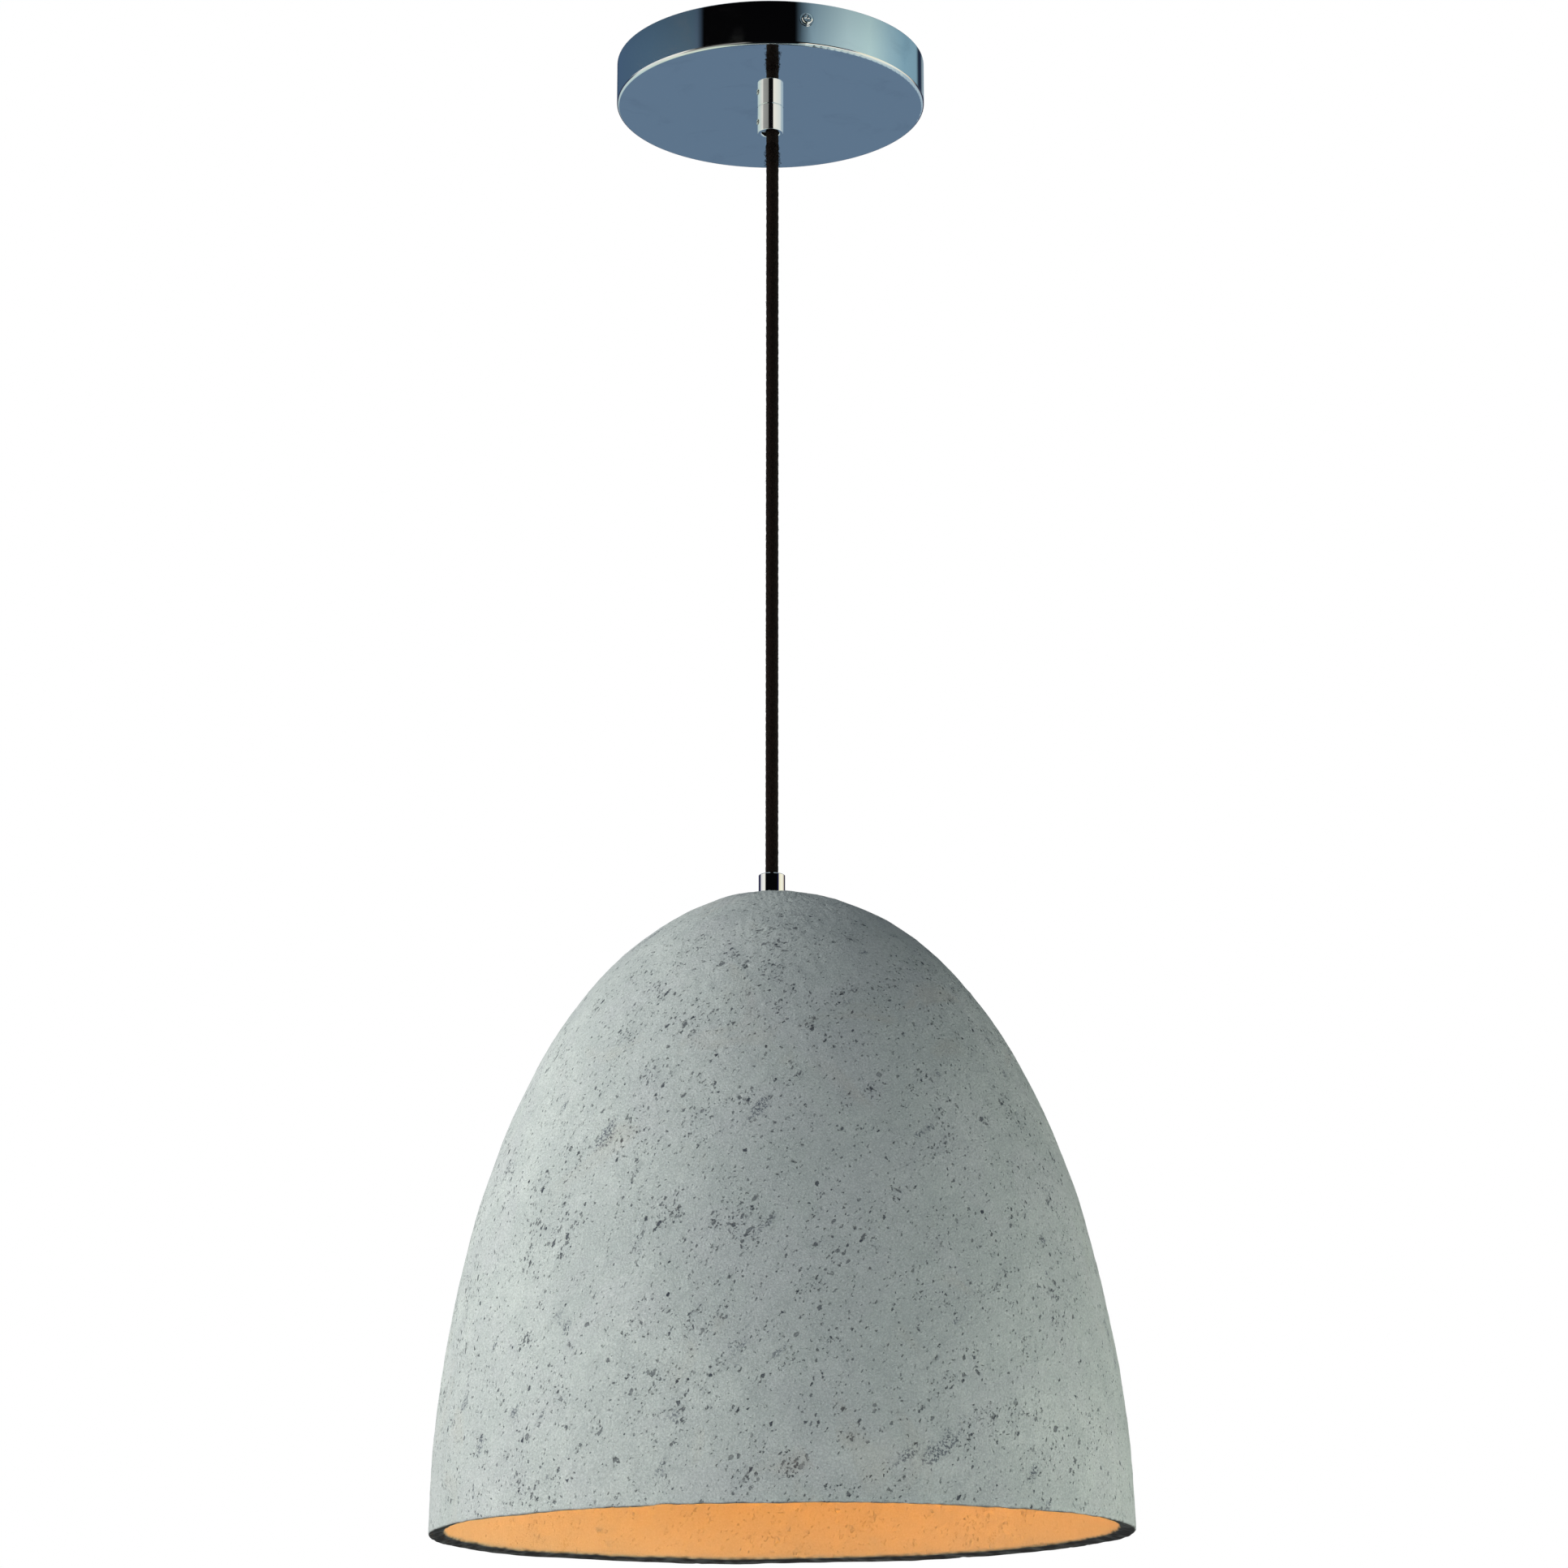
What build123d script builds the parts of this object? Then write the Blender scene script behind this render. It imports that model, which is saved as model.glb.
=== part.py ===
from build123d import *
import os
from math import radians, tan

# A pendant ceiling light: a cast concrete dome on a straight textile cord under a shallow chrome canopy.
# Frame: origin in the ceiling plane at the middle of the canopy, +Z up, everything hangs below.
# The mounting bracket runs along Y, and the grip's set screw points along -X.

# ---------------------------------------------------------------- driving dimensions, mm
canopy_r = 76.0
canopy_height = 22.4
canopy_wall = 0.9
canopy_corner_r = 1.5
side_screw_z = -9.0
side_screw_clearance_r = 2.2
side_screw_thread_r = 1.97

bracket_width = 22.0
bracket_t = 1.6
bracket_reach = 74.2  # from the middle to the outside of a tab
tab_width = 14.0
tab_drop = 15.5
box_screw_spacing = 69.85
bracket_hole_r = 7.0
tapped_hole_r = 2.02
box_screw_r = 2.08
box_screw_reach = 14.0  # above the ceiling plane, into the box
box_screw_shoulder_r = 2.4
box_screw_head_r = 4.0
box_screw_head_height = 2.4
slot_middle_spacing = 79.4
slot_length = 14.5
slot_width = 5.0
earth_x = 6.5
earth_y = 22.0
earth_hole_r = 1.7

grip_r = 6.4
grip_height = 13.6
grip_bore_r = 4.3
grip_mouth_round = 0.8
grip_top_bevel = 0.4
set_screw_depth = 8.0  # below the canopy's face
set_screw_r = 1.45

cord_r = 3.1
cord_x = 1.0  # the set screw pushes the cord this far off the grip's axis
visible_cord = 377.1
core_r = 1.0  # one insulated conductor
core_offset = 1.2

tube_r = 5.0  # outside of the hollow threaded tubes
tube_bore_r = 4.1
tube_clearance = 0.05
nut_flats = 14.0

ferrule_r = 6.25
ferrule_height = 9.9
ferrule_seat_r = 7.0
ferrule_seat_depth = 0.3

shade_r = 160.4
shade_height = 298.3
rim_wall = 8.0
rim_slant = 2.0
crown_wall = 14.0
crown_flat_r = 24.0
crown_hole_r = 5.6

holder_r = 19.0
holder_wall = 1.6
thread_pitch = 25.4 / 7
thread_depth = 0.35
socket_thread_r = 13.3
base_thread_r = 12.45
bulb_r = 30.0
bulb_length = 108.0
glass_wall = 0.8

# ---------------------------------------------------------------- levels along Z
canopy_face_z = -canopy_height
mouth_z = canopy_face_z - grip_height
ferrule_top_z = mouth_z - visible_cord
crown_z = ferrule_top_z - ferrule_height
rim_z = crown_z - shade_height
seat_z = crown_z - crown_wall

gasket_t = 2.0
plate_t = 1.5
crown_nut_t = 5.0
holder_top_z = seat_z - gasket_t - plate_t - crown_nut_t
neck_length = 6.0
holder_shoulder_z = holder_top_z - neck_length
cap_bottom_z = holder_shoulder_z - 18.5
insulator_top_z = holder_shoulder_z - 11.5
insulator_bottom_z = insulator_top_z - 14.0
holder_bottom_z = insulator_bottom_z - 30.0
bulb_top_z = insulator_bottom_z - 1.6
bulb_bottom_z = bulb_top_z - bulb_length

# The upper part turns about Z, and what hangs turns about the cord.
hang_profile = Plane(origin=(cord_x, 0, 0), x_dir=(1, 0, 0), z_dir=(0, -1, 0))
hang_axis = Axis((cord_x, 0, 0), (0, 0, 1))


def hang_level(z):
    """The horizontal plane at height z, centred on the cord."""
    return Plane.XY.offset(z).move(Location((cord_x, 0, 0)))


def ripple(r, top_z, turns, upward=False):
    """Points and bulges of a rolled thread: half turns that swing out and in about radius r."""
    halves = []
    for k in range(2 * turns):
        start_z = top_z - k * thread_pitch / 2
        bulge = thread_depth if k % 2 == 0 else -thread_depth
        start = (r, start_z)
        middle = (r + bulge, start_z - thread_pitch / 4)
        end = (r, start_z - thread_pitch / 2)
        halves.append((end, middle, start) if upward else (start, middle, end))
    return halves


pieces = {}

# ---------------------------------------------------------------- ceiling bracket and its screws
with BuildPart() as mounting_bracket:
    with BuildSketch(Plane.YZ):
        with BuildLine():
            Polyline(
                (-bracket_reach, -tab_drop),
                (-bracket_reach, 0),
                (bracket_reach, 0),
                (bracket_reach, -tab_drop),
                (bracket_reach - bracket_t, -tab_drop),
                (bracket_reach - bracket_t, -bracket_t),
                (bracket_t - bracket_reach, -bracket_t),
                (bracket_t - bracket_reach, -tab_drop),
                close=True,
            )
        make_face()
    extrude(amount=bracket_width / 2, both=True)
    bends = edges().filter_by(Axis.X)
    fillet(bends.group_by(Axis.Z)[-1], 2.2)
    inner_bends = edges().filter_by(Axis.X).filter_by_position(Axis.Z, -bracket_t - 0.1, -bracket_t + 0.1)
    fillet(inner_bends, 0.6)
    shoulder_x = (bracket_width + tab_width) / 4
    for side in (-1, 1):
        with BuildSketch(Plane.XY):
            with Locations((-shoulder_x, side * bracket_reach), (shoulder_x, side * bracket_reach)):
                Rectangle((bracket_width - tab_width) / 2, 16)
        extrude(amount=-tab_drop, mode=Mode.SUBTRACT)
    with BuildSketch(Plane.XY):
        Circle(bracket_hole_r)
        with Locations((0, -slot_middle_spacing / 2), (0, slot_middle_spacing / 2)):
            SlotOverall(slot_length, slot_width, rotation=90)
        with Locations((earth_x, earth_y)):
            Circle(earth_hole_r)
    extrude(amount=-bracket_t, mode=Mode.SUBTRACT)
    with BuildSketch(Plane.XZ):
        with Locations((0, side_screw_z)):
            Circle(tapped_hole_r)
    extrude(amount=canopy_r, both=True, mode=Mode.SUBTRACT)
pieces["mounting_bracket"] = mounting_bracket

# Each screw has a shoulder through the bracket's slot and a thread above it.
box_screw_places = [(0, -box_screw_spacing / 2), (0, box_screw_spacing / 2)]
with BuildPart() as outlet_box_screws:
    with BuildSketch(Plane.XY.offset(-bracket_t)):
        with Locations(*box_screw_places):
            Circle(box_screw_head_r)
    extrude(amount=-box_screw_head_height)
    fillet(edges().group_by(Axis.Z)[0], 1.1)
    with BuildSketch(Plane.XY.offset(-bracket_t)):
        with Locations(*box_screw_places):
            Circle(box_screw_shoulder_r)
    extrude(amount=bracket_t)
    with BuildSketch(Plane.XY):
        with Locations(*box_screw_places):
            Circle(box_screw_r)
    extrude(amount=box_screw_reach)
    chamfer(edges().group_by(Axis.Z)[-1], 0.5)
    with BuildSketch(Plane.XY.offset(-bracket_t - box_screw_head_height)):
        with Locations(*box_screw_places):
            Rectangle(4.2, 0.9)
            Rectangle(0.9, 4.2)
    extrude(amount=1.3, mode=Mode.SUBTRACT)
pieces["outlet_box_screws"] = outlet_box_screws

# A ring terminal under a green hex screw earths the bracket.
lead_z = -3.9
ring_t = 0.8
ring_barrel_y = earth_y + 5.2
ring_barrel_length = 6.0
with BuildPart() as earth_ring:
    with BuildSketch(Plane.XY.offset(-bracket_t)):
        with Locations((earth_x, earth_y)):
            Circle(4.0)
        with Locations((earth_x, earth_y + 4.5)):
            Rectangle(3.2, 4.4)
        with Locations((earth_x, earth_y)):
            Circle(earth_hole_r, mode=Mode.SUBTRACT)
    extrude(amount=-ring_t)
    with BuildSketch(Plane.XZ.offset(-ring_barrel_y)):
        with Locations((earth_x, lead_z)):
            Circle(1.9)
    extrude(amount=-ring_barrel_length)
    with BuildSketch(Plane.XZ.offset(-ring_barrel_y)):
        with Locations((earth_x, lead_z)):
            Circle(core_r + 0.03)
    extrude(amount=-ring_barrel_length, mode=Mode.SUBTRACT)
pieces["earth_ring"] = earth_ring

earth_seat_z = -bracket_t - ring_t
with BuildPart() as earth_screw:
    with BuildSketch(Plane.XY.offset(earth_seat_z)):
        with Locations((earth_x, earth_y)):
            RegularPolygon(3.9, 6)
    extrude(amount=-2.4)
    chamfer(edges().group_by(Axis.Z)[0], 0.35)
    with BuildSketch(Plane.XY.offset(earth_seat_z)):
        with Locations((earth_x, earth_y)):
            Circle(earth_hole_r - 0.05)
    extrude(amount=2.5 - earth_seat_z)
pieces["earth_screw"] = earth_screw

# ---------------------------------------------------------------- canopy
with BuildPart() as canopy:
    with BuildSketch(Plane.XY.offset(canopy_face_z)):
        Circle(canopy_r)
    extrude(amount=canopy_height)
    fillet(edges().group_by(Axis.Z)[0], canopy_corner_r)
    offset(amount=-canopy_wall, openings=faces().sort_by(Axis.Z)[-1])
    fillet(edges().group_by(Axis.Z)[-1], canopy_wall * 0.45)
    with BuildSketch(Plane.XY.offset(canopy_face_z)):
        Circle(tube_r + 0.2)
    extrude(amount=2 * canopy_wall, mode=Mode.SUBTRACT)
    with BuildSketch(Plane.XZ):
        with Locations((0, side_screw_z)):
            Circle(side_screw_clearance_r)
    extrude(amount=canopy_r + 1, both=True, mode=Mode.SUBTRACT)
pieces["canopy"] = canopy

# Two pan-head screws, each with a washer face and a cross recess, hold the canopy to the bracket's tabs.
screw_face_r = 3.4
screw_dome_r = 2.7
with BuildPart() as canopy_side_screws:
    for side in (-1, 1):
        head_plane = Plane(origin=(0, side * canopy_r, side_screw_z), z_dir=(0, side, 0))
        with BuildSketch(head_plane):
            Circle(screw_face_r)
        extrude(amount=0.5)
        with BuildSketch(head_plane.offset(0.5)):
            Circle(screw_dome_r)
        extrude(amount=1.3)
        fillet(edges().group_by(Axis.Y)[-1 if side > 0 else 0], 0.8)
        with BuildSketch(head_plane.offset(1.8)):
            Rectangle(3.0, 0.7)
            Rectangle(0.7, 3.0)
        extrude(amount=-1.0, mode=Mode.SUBTRACT)
        with BuildSketch(head_plane):
            Circle(side_screw_thread_r)
        extrude(amount=-6.0)
pieces["canopy_side_screws"] = canopy_side_screws

# ---------------------------------------------------------------- hollow tube, washer and nut through the canopy
tube_top_z = -14.5
tube_bottom_z = -26.6
inner_face_z = canopy_face_z + canopy_wall
with BuildPart() as canopy_tube:
    with BuildSketch(Plane.XY.offset(tube_bottom_z)):
        Circle(tube_r)
        Circle(tube_bore_r, mode=Mode.SUBTRACT)
    extrude(amount=tube_top_z - tube_bottom_z)
    chamfer(edges().filter_by(GeomType.CIRCLE).group_by(SortBy.RADIUS)[-1], 0.3)
pieces["canopy_tube"] = canopy_tube

washer_t = 0.8
with BuildPart() as toothed_washer:
    with BuildSketch(Plane.XY.offset(inner_face_z)):
        Circle(9.0)
        Circle(tube_r + 0.2, mode=Mode.SUBTRACT)
        with PolarLocations(9.0, 12):
            Rectangle(2.4, 1.2, mode=Mode.SUBTRACT)
    extrude(amount=washer_t)
pieces["toothed_washer"] = toothed_washer

with BuildPart() as canopy_nut:
    with BuildSketch(Plane.XY.offset(inner_face_z + washer_t)):
        RegularPolygon(nut_flats / 2, 6, major_radius=False)
        Circle(tube_r + tube_clearance, mode=Mode.SUBTRACT)
    extrude(amount=4.0)
pieces["canopy_nut"] = canopy_nut

# ---------------------------------------------------------------- cord grip with its set screw and clamp pad
with BuildPart() as cord_grip:
    with BuildSketch(Plane.XY.offset(canopy_face_z)):
        Circle(grip_r)
    extrude(amount=-grip_height)
    chamfer(edges().group_by(Axis.Z)[-1], grip_top_bevel)
    fillet(edges().group_by(Axis.Z)[0], 0.4)
    with BuildSketch(Plane.XY.offset(canopy_face_z)):
        Circle(grip_bore_r)
    extrude(amount=-grip_height, mode=Mode.SUBTRACT)
    mouth_edge = edges().group_by(Axis.Z)[0].sort_by(SortBy.RADIUS)[0]
    fillet(mouth_edge, grip_mouth_round)
    with BuildSketch(Plane.XY.offset(canopy_face_z)):
        Circle(tube_r + tube_clearance)
    extrude(amount=tube_bottom_z - canopy_face_z - 0.2, mode=Mode.SUBTRACT)
    with BuildSketch(Plane.YZ):
        with Locations((0, canopy_face_z - set_screw_depth)):
            Circle(set_screw_r + tube_clearance)
    extrude(amount=-grip_r, mode=Mode.SUBTRACT)
pieces["cord_grip"] = cord_grip

pad_outside_x = -4.05
pad_inside_x = cord_x - cord_r - 0.1
pad_bottom_z = mouth_z + 1.0
pad_top_z = mouth_z + 7.4
with BuildPart() as clamp_pad:
    with BuildSketch(Plane.XY.offset(pad_bottom_z)):
        with Locations(((pad_outside_x + pad_inside_x) / 2, 0)):
            Rectangle(pad_inside_x - pad_outside_x, 2.5)
    extrude(amount=pad_top_z - pad_bottom_z)
    fillet(edges().filter_by(Axis.Y), 0.5)
pieces["clamp_pad"] = clamp_pad

with BuildPart() as grip_set_screw:
    with BuildSketch(Plane.YZ.offset(pad_outside_x - 0.05)):
        with Locations((0, canopy_face_z - set_screw_depth)):
            Circle(set_screw_r)
    extrude(amount=-(grip_r + 0.4 + pad_outside_x - 0.05))
    chamfer(edges().group_by(Axis.X)[0], 0.2)
    with BuildSketch(Plane.YZ.offset(-grip_r - 0.4)):
        with Locations((0, canopy_face_z - set_screw_depth)):
            Rectangle(2 * set_screw_r, 0.5)
    extrude(amount=0.9, mode=Mode.SUBTRACT)
pieces["grip_set_screw"] = grip_set_screw

# ---------------------------------------------------------------- cord through the grip, and its two cores
cord_top_z = -12.5
bend_top_z = mouth_z + cord_r + 0.05
grip_route = [
    (cord_x, 0, bend_top_z),
    (cord_x, 0, pad_top_z),
    (0, 0, canopy_face_z + 0.4),
    (0, 0, cord_top_z),
]
runs = [(Vector(*b) - Vector(*a)) for a, b in zip(grip_route, grip_route[1:])]
grip_bends = [
    0.45 * min(above.length, below.length) / tan(radians(above.get_angle(below)) / 2)
    for above, below in zip(runs, runs[1:])
]
with BuildPart() as cord_in_canopy:
    with BuildLine() as grip_path:
        FilletPolyline(*grip_route, radius=grip_bends)
    with BuildSketch(Plane(origin=grip_route[0], z_dir=(0, 0, 1))):
        Circle(cord_r)
    sweep(path=grip_path.line)
pieces["cord_in_canopy"] = cord_in_canopy

splice_z = -7.6
splice_x = 17.0
for name, side in (("live_core", 1), ("neutral_core", -1)):
    start = (side * core_offset, 0, cord_top_z)
    with BuildPart() as core:
        with BuildLine() as core_path:
            FilletPolyline(
                start,
                (side * core_offset, 0, splice_z),
                (side * (splice_x + 7), 0, splice_z),
                radius=4.2,
            )
        with BuildSketch(Plane(origin=start, z_dir=(0, 0, 1))):
            Circle(core_r)
        sweep(path=core_path.line)
    pieces[name] = core

with BuildPart() as earth_lead:
    earth_start = (earth_x, earth_y + 5.4, lead_z)
    with BuildLine() as earth_path:
        FilletPolyline(
            earth_start,
            (earth_x, 35.5, lead_z),
            (earth_x, 42.0, splice_z),
            (earth_x, 51.0, splice_z),
            radius=6.0,
        )
    with BuildSketch(Plane(origin=earth_start, z_dir=(0, 1, 0))):
        Circle(core_r)
    sweep(path=earth_path.line)
pieces["earth_lead"] = earth_lead

# Three twist-on connectors, ready for the supply wires: live, neutral and earth.
connector_length = 19.0
connector_mouth_r = 5.4
connector_tip_r = 3.6
with BuildPart() as wire_connectors:
    for mouth, heading in (
        ((splice_x, 0, splice_z), (1, 0, 0)),
        ((-splice_x, 0, splice_z), (-1, 0, 0)),
        ((earth_x, 44.0, splice_z), (0, 1, 0)),
    ):
        mouth_plane = Plane(origin=mouth, z_dir=heading)
        with BuildSketch(mouth_plane):
            Circle(connector_mouth_r)
        with BuildSketch(mouth_plane.offset(connector_length)):
            Circle(connector_tip_r)
        loft()
        with BuildSketch(mouth_plane):
            Circle(3.6)
        with BuildSketch(mouth_plane.offset(13)):
            Circle(1.6)
        loft(mode=Mode.SUBTRACT)
pieces["wire_connectors"] = wire_connectors

# ---------------------------------------------------------------- the free cord
# A ball as thick as the cord is its bend at the grip's mouth, and the cord's cupped top turns about it.
cup_clearance = 0.05
lower_end_length = 12.0
with BuildPart() as cord_bend:
    with Locations((cord_x, 0, mouth_z)):
        Sphere(cord_r)
pieces["cord_bend"] = cord_bend

with BuildPart() as hanging_cord:
    with BuildSketch(hang_level(mouth_z)):
        Circle(cord_r)
    extrude(amount=-(visible_cord - lower_end_length))
    with Locations((cord_x, 0, mouth_z)):
        Sphere(cord_r + cup_clearance, mode=Mode.SUBTRACT)
pieces["hanging_cord"] = hanging_cord

with BuildPart() as cord_lower_end:
    with BuildSketch(hang_level(ferrule_top_z)):
        Circle(cord_r)
    extrude(amount=lower_end_length)
pieces["cord_lower_end"] = cord_lower_end

# ---------------------------------------------------------------- shade fittings on the cord
lower_tube_top_z = ferrule_top_z - 4.4
cord_stop_z = holder_shoulder_z - 3.0
with BuildPart() as cord_in_ferrule:
    with BuildSketch(hang_level(cord_stop_z)):
        Circle(cord_r)
    extrude(amount=ferrule_top_z - cord_stop_z)
pieces["cord_in_ferrule"] = cord_in_ferrule

with BuildPart() as shade_ferrule:
    with BuildSketch(hang_level(ferrule_top_z)):
        Circle(ferrule_r)
    extrude(amount=-ferrule_height - ferrule_seat_depth)
    chamfer(edges().group_by(Axis.Z)[-1], 0.3)
    with BuildSketch(hang_level(ferrule_top_z)):
        Circle(cord_r + 0.3)
    extrude(amount=-ferrule_height - ferrule_seat_depth, mode=Mode.SUBTRACT)
    with BuildSketch(hang_level(lower_tube_top_z + 0.2)):
        Circle(tube_r + tube_clearance)
    extrude(amount=-ferrule_height, mode=Mode.SUBTRACT)
pieces["shade_ferrule"] = shade_ferrule

lower_tube_bottom_z = holder_shoulder_z - 1.2
with BuildPart() as shade_tube:
    with BuildSketch(hang_level(lower_tube_bottom_z)):
        Circle(tube_r)
        Circle(tube_bore_r, mode=Mode.SUBTRACT)
    extrude(amount=lower_tube_top_z - lower_tube_bottom_z)
    chamfer(edges().filter_by(GeomType.CIRCLE).group_by(SortBy.RADIUS)[-1], 0.3)
pieces["shade_tube"] = shade_tube

# ---------------------------------------------------------------- concrete dome
# The wall is 8 mm at the rim and thickens to 14 mm at the crown, which is cast flat inside for the washers.
outer_curve = [
    (0, crown_z),
    (60.3, crown_z),
    (125.0, rim_z + 245.8),
    (145.6, rim_z + 149.5),
    (shade_r, rim_z + 65.0),
    (shade_r, rim_z),
]
inner_curve = [
    (shade_r - rim_wall, rim_z + rim_slant),
    (shade_r - rim_wall, rim_z + 46),
    (150, rim_z + 226),
    (40, seat_z),
    (crown_flat_r, seat_z),
]
with BuildPart() as concrete_shade:
    with BuildSketch(hang_profile):
        with BuildLine():
            Bezier(*outer_curve)
            Line(outer_curve[-1], inner_curve[0])
            Bezier(*inner_curve)
            Polyline(inner_curve[-1], (0, seat_z), (0, crown_z))
        make_face()
    revolve(axis=hang_axis)
    with BuildSketch(hang_level(seat_z)):
        Circle(crown_hole_r)
    extrude(amount=crown_wall, mode=Mode.SUBTRACT)
    with BuildSketch(hang_level(crown_z - ferrule_seat_depth)):
        Circle(ferrule_seat_r)
    extrude(amount=ferrule_seat_depth, mode=Mode.SUBTRACT)
pieces["concrete_shade"] = concrete_shade

with BuildPart() as shade_gasket:
    with BuildSketch(hang_level(seat_z)):
        Circle(18.0)
        Circle(tube_r + 0.2, mode=Mode.SUBTRACT)
    extrude(amount=-gasket_t)
pieces["shade_gasket"] = shade_gasket

with BuildPart() as shade_washer:
    with BuildSketch(hang_level(seat_z - gasket_t)):
        Circle(16.0)
        Circle(tube_r + 0.2, mode=Mode.SUBTRACT)
    extrude(amount=-plate_t)
    fillet(edges().filter_by(GeomType.CIRCLE).group_by(SortBy.RADIUS)[-1], 0.3)
pieces["shade_washer"] = shade_washer

with BuildPart() as shade_nut:
    with BuildSketch(hang_level(seat_z - gasket_t - plate_t)):
        RegularPolygon(nut_flats / 2, 6, major_radius=False)
        Circle(tube_r + tube_clearance, mode=Mode.SUBTRACT)
    extrude(amount=-crown_nut_t)
pieces["shade_nut"] = shade_nut

# ---------------------------------------------------------------- lampholder
shoulder_round = 7.0
with BuildPart() as holder_cap:
    with BuildSketch(hang_level(cap_bottom_z)):
        Circle(holder_r)
    extrude(amount=holder_shoulder_z - cap_bottom_z)
    fillet(edges().group_by(Axis.Z)[-1], shoulder_round)
    offset(amount=-holder_wall, openings=faces().sort_by(Axis.Z)[0])
    with BuildSketch(hang_level(holder_shoulder_z)):
        Circle(8.0)
    extrude(amount=neck_length)
    with BuildSketch(hang_level(holder_top_z)):
        Circle(tube_r + tube_clearance)
    extrude(amount=-neck_length - 2 * holder_wall, mode=Mode.SUBTRACT)
pieces["holder_cap"] = holder_cap

terminal_x = 9.5
terminal_top_z = insulator_top_z + 6.5
terminal_wire_z = insulator_top_z + 4.0
with BuildPart() as holder_insulator:
    with BuildSketch(hang_level(insulator_bottom_z)):
        Circle(holder_r - 3.3)
    extrude(amount=insulator_top_z - insulator_bottom_z)
    fillet(edges().group_by(Axis.Z)[-1], 1.0)
pieces["holder_insulator"] = holder_insulator

with BuildPart() as terminal_blocks:
    with BuildSketch(hang_level(insulator_top_z)):
        with Locations((-terminal_x, 0), (terminal_x, 0)):
            Rectangle(5.0, 5.0)
    extrude(amount=terminal_top_z - insulator_top_z)
    for side in (-1, 1):
        face_x = cord_x + side * (terminal_x - 2.5)
        inward_face = Plane(origin=(face_x, 0, terminal_wire_z), z_dir=(side, 0, 0))
        with BuildSketch(inward_face):
            Circle(core_r + 0.1)
        extrude(amount=3.5, mode=Mode.SUBTRACT)
    with BuildSketch(hang_level(terminal_top_z)):
        with Locations((-terminal_x, 0), (terminal_x, 0)):
            Circle(1.05)
    extrude(amount=-2.0, mode=Mode.SUBTRACT)
pieces["terminal_blocks"] = terminal_blocks

with BuildPart() as terminal_screws:
    with BuildSketch(hang_level(terminal_top_z)):
        with Locations((-terminal_x, 0), (terminal_x, 0)):
            Circle(1.8)
    extrude(amount=1.2)
    with BuildSketch(hang_level(terminal_top_z)):
        with Locations((-terminal_x, 0), (terminal_x, 0)):
            Circle(1.0)
    extrude(amount=-1.3)
    with BuildSketch(hang_level(terminal_top_z + 1.2)):
        with Locations((-terminal_x, 0), (terminal_x, 0)):
            Rectangle(3.6, 0.5)
    extrude(amount=-0.6, mode=Mode.SUBTRACT)
pieces["terminal_screws"] = terminal_screws

for name, side in (("holder_live_core", 1), ("holder_neutral_core", -1)):
    start = (cord_x + side * core_offset, 0, cord_stop_z)
    with BuildPart() as core:
        with BuildLine() as core_path:
            FilletPolyline(
                start,
                (start[0], 0, terminal_wire_z),
                (cord_x + side * (terminal_x - 1.3), 0, terminal_wire_z),
                radius=3.0,
            )
        with BuildSketch(Plane(origin=start, z_dir=(0, 0, -1))):
            Circle(core_r)
        sweep(path=core_path.line)
    pieces[name] = core

with BuildPart() as holder_skirt:
    with BuildSketch(hang_profile):
        with BuildLine():
            Polyline(
                (holder_r, cap_bottom_z),
                (holder_r, holder_bottom_z + 1.0),
                (holder_r - 1.0, holder_bottom_z),
                (14.8, holder_bottom_z),
                (14.8, holder_bottom_z + 1.8),
                (17.0, holder_bottom_z + 3.2),
                (17.0, cap_bottom_z - 1.5),
                (15.9, cap_bottom_z - 0.4),
                (15.9, cap_bottom_z + 5.0),
                (17.3, cap_bottom_z + 5.0),
                (17.3, cap_bottom_z),
                close=True,
            )
        make_face()
    revolve(axis=hang_axis)
pieces["holder_skirt"] = holder_skirt

# The threaded shell hangs from the insulator by its inturned flange.
shell_t = 0.4
socket_turns = 6
shell_top_z = insulator_bottom_z
thread_top_z = shell_top_z - 3.0
thread_bottom_z = thread_top_z - socket_turns * thread_pitch
with BuildPart() as screw_shell:
    with BuildSketch(hang_profile):
        with BuildLine():
            Polyline(
                (5.0, shell_top_z),
                (socket_thread_r + shell_t, shell_top_z),
                (socket_thread_r + shell_t, thread_top_z),
            )
            for start, middle, end in ripple(socket_thread_r + shell_t, thread_top_z, socket_turns):
                ThreePointArc(start, middle, end)
            Line((socket_thread_r + shell_t, thread_bottom_z), (socket_thread_r, thread_bottom_z))
            for start, middle, end in ripple(socket_thread_r, thread_top_z, socket_turns, upward=True):
                ThreePointArc(start, middle, end)
            Polyline(
                (socket_thread_r, thread_top_z),
                (socket_thread_r, shell_top_z - shell_t),
                (5.0, shell_top_z - shell_t),
                (5.0, shell_top_z),
            )
        make_face()
    revolve(axis=hang_axis)
pieces["screw_shell"] = screw_shell

with BuildPart() as centre_contact:
    with BuildSketch(hang_level(insulator_bottom_z)):
        Rectangle(7.0, 3.4)
    extrude(amount=-0.5)
    with BuildSketch(hang_level(insulator_bottom_z - 0.5)):
        Circle(1.5)
    extrude(amount=-1.0)
    fillet(edges().group_by(Axis.Z)[0], 0.5)
pieces["centre_contact"] = centre_contact

# ---------------------------------------------------------------- bulb
base_top_z = bulb_top_z - 5.0
base_turns = 5
base_bottom_z = base_top_z - base_turns * thread_pitch - 4.0
with BuildPart() as bulb_tip:
    with BuildSketch(hang_level(bulb_top_z)):
        Circle(4.5)
    extrude(amount=-1.0)
    fillet(edges().group_by(Axis.Z)[-1], 0.7)
pieces["bulb_tip"] = bulb_tip

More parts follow.
